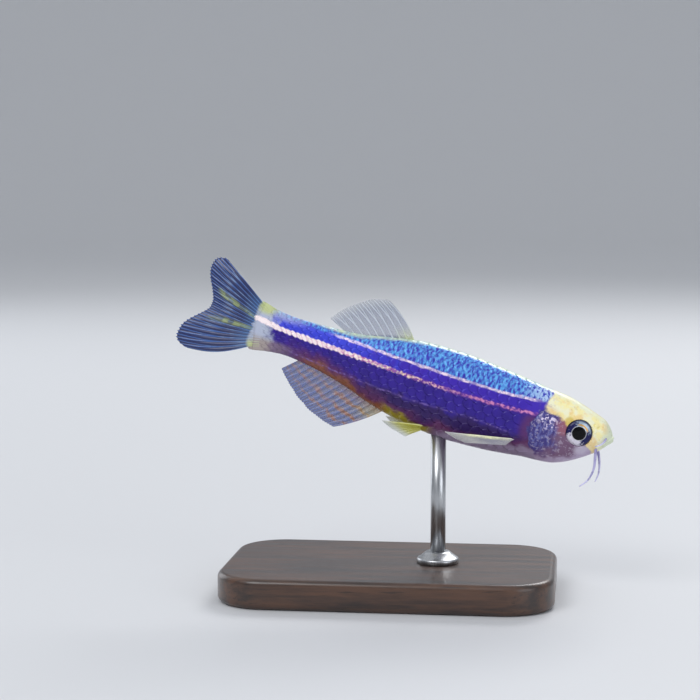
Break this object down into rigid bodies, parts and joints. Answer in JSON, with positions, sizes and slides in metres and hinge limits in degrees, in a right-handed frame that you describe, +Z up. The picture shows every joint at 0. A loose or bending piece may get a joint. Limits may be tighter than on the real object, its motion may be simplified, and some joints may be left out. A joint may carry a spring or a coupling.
{
  "type": "zebra danio display model",
  "caption": "Life-size still model of a swimming zebra danio, a slim striped aquarium fish with barbels and rayed fins, nose down on a rod over a flat wooden base.",
  "frame": {"origin": "centre of the stand base's underside, under the middle of the fish's length", "axes": "+X towards the fish's head, +Y to the fish's left, +Z up"},
  "size_m": [0.044, 0.021, 0.0334],
  "materials": {
    "head_skin": "smooth wet-looking skin, pale yellow on top, lilac cheeks and pearly gill covers",
    "body_skin": "fine scales with a pearly sheen, blue back, violet flanks, pale pink stripes and a yellowish belly",
    "median_fins": "thin clear membrane on pale rays, the anal fin with soft ochre stripes",
    "tail_fin": "thin blue membrane with lighter rays and two yellowish streaks",
    "paired_fins": "clear membrane with a pale yellow leading edge",
    "eyes": "glossy black pupil in a silvery white iris",
    "barbels": "soft pale lavender skin",
    "stand_wood": "dark stained hardwood with a satin lacquer",
    "stand_steel": "fine brushed steel"
  },
  "bodies": {
    "root": {"head": "head_skin", "trunk": "body_skin", "tail_stalk": "body_skin", "dorsal_fin": "median_fins", "anal_fin": "median_fins", "tail_fin": "tail_fin", "pectoral_fin_left": "paired_fins", "pectoral_fin_right": "paired_fins", "pelvic_fin_left": "paired_fins", "pelvic_fin_right": "paired_fins", "eye_left": "eyes", "eye_right": "eyes", "long_barbel_left": "barbels", "long_barbel_right": "barbels", "short_barbel_left": "barbels", "short_barbel_right": "barbels", "stand_base": "stand_wood", "stand_collar": "stand_steel", "stand_rod": "stand_steel"}
  },
  "joints": []
}
